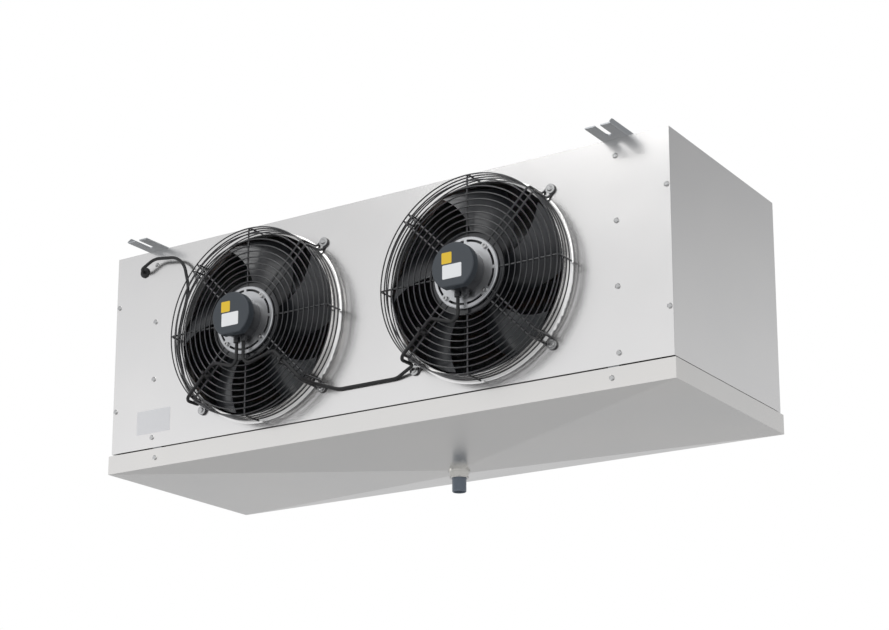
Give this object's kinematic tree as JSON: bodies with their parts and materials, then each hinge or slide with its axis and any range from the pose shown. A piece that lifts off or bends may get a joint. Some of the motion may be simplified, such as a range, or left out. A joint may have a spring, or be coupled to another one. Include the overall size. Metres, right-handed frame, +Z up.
{
  "type": "walk-in unit cooler",
  "caption": "Ceiling-hung unit cooler with guarded axial fans in a sheet-metal casing, a finned coil behind them and a hinged drip tray with a centre drain.",
  "frame": {"origin": "middle of the casing's top face, where the suspension brackets lie", "axes": "+X along the casing's length to the right as seen from the front, -Y out of the front where the fans blow, +Z up"},
  "size_m": [1.268, 0.601, 0.5215],
  "materials": {
    "casing_sheet": "satin sheet with a soft mirror sheen",
    "tray_sheet": "satin sheet with a soft mirror sheen",
    "zinc_sheet": "plain galvanised sheet",
    "screw_steel": "bright zinc plate",
    "fin_foil": "bare foil",
    "copper": "drawn copper pipe",
    "guard_wire": "gloss black coating",
    "cast_aluminium": "bare die casting",
    "motor_black": "satin black paint",
    "cap_plastic": "fine grained dark slate",
    "black_rubber": "matt black",
    "black_nylon": "smooth black",
    "drain_plastic": "smooth blue-grey",
    "drain_nickel": "bright nickel plate"
  },
  "bodies": {
    "cabinet": {"front_panel": "casing_sheet", "top_panel": "casing_sheet", "side_cover_right": "casing_sheet", "side_cover_left": "casing_sheet", "coil_end_plate_right": "zinc_sheet", "coil_end_plate_left": "zinc_sheet", "fan_partition": "zinc_sheet", "rear_rail": "zinc_sheet", "tray_lugs": "zinc_sheet", "panel_screws": "screw_steel", "bracket_right": "zinc_sheet", "bracket_left": "zinc_sheet", "bracket_bolts": "screw_steel", "coil_fins": "fin_foil", "coil_tubes": "copper", "coil_return_bends": "copper", "suction_header": "copper", "liquid_distributor": "copper", "hinge_leaves_fixed": "zinc_sheet", "hinge_pins": "screw_steel", "hinge_rivets_fixed": "screw_steel", "cable_grommet": "black_rubber", "supply_cable": "black_rubber", "link_cable": "black_rubber", "cable_ties": "black_nylon", "fan_guard_left": "guard_wire", "guard_screws_left": "screw_steel", "motor_flange_left": "cast_aluminium", "motor_body_left": "motor_black", "motor_bearings_left": "screw_steel", "motor_cap_left": "cap_plastic", "flange_bolts_left": "screw_steel", "fan_guard_right": "guard_wire", "guard_screws_right": "screw_steel", "motor_flange_right": "cast_aluminium", "motor_body_right": "motor_black", "motor_bearings_right": "screw_steel", "motor_cap_right": "cap_plastic", "flange_bolts_right": "screw_steel"},
    "tray": {"drip_tray": "tray_sheet", "drain_fitting": "drain_plastic", "drain_nut": "drain_nickel", "tray_screws": "screw_steel", "hinge_leaves_tray": "zinc_sheet", "hinge_rivets_tray": "screw_steel"},
    "fan_left": {"rotor_left": "motor_black", "fan_blades_left": "motor_black"},
    "fan_right": {"rotor_right": "motor_black", "fan_blades_right": "motor_black"}
  },
  "joints": [
    {"name": "fan_left_spin", "type": "hinge", "parent": "cabinet", "child": "fan_left", "pos_m": [-0.25, -0.23, -0.212], "axis": [0, -1, 0], "continuous": true},
    {"name": "fan_right_spin", "type": "hinge", "parent": "cabinet", "child": "fan_right", "pos_m": [0.25, -0.23, -0.212], "axis": [0, -1, 0], "continuous": true},
    {"name": "tray_hinge", "type": "hinge", "parent": "cabinet", "child": "tray", "pos_m": [0, 0.2269, -0.416], "axis": [1, 0, 0], "range_deg": [0, 75]}
  ]
}
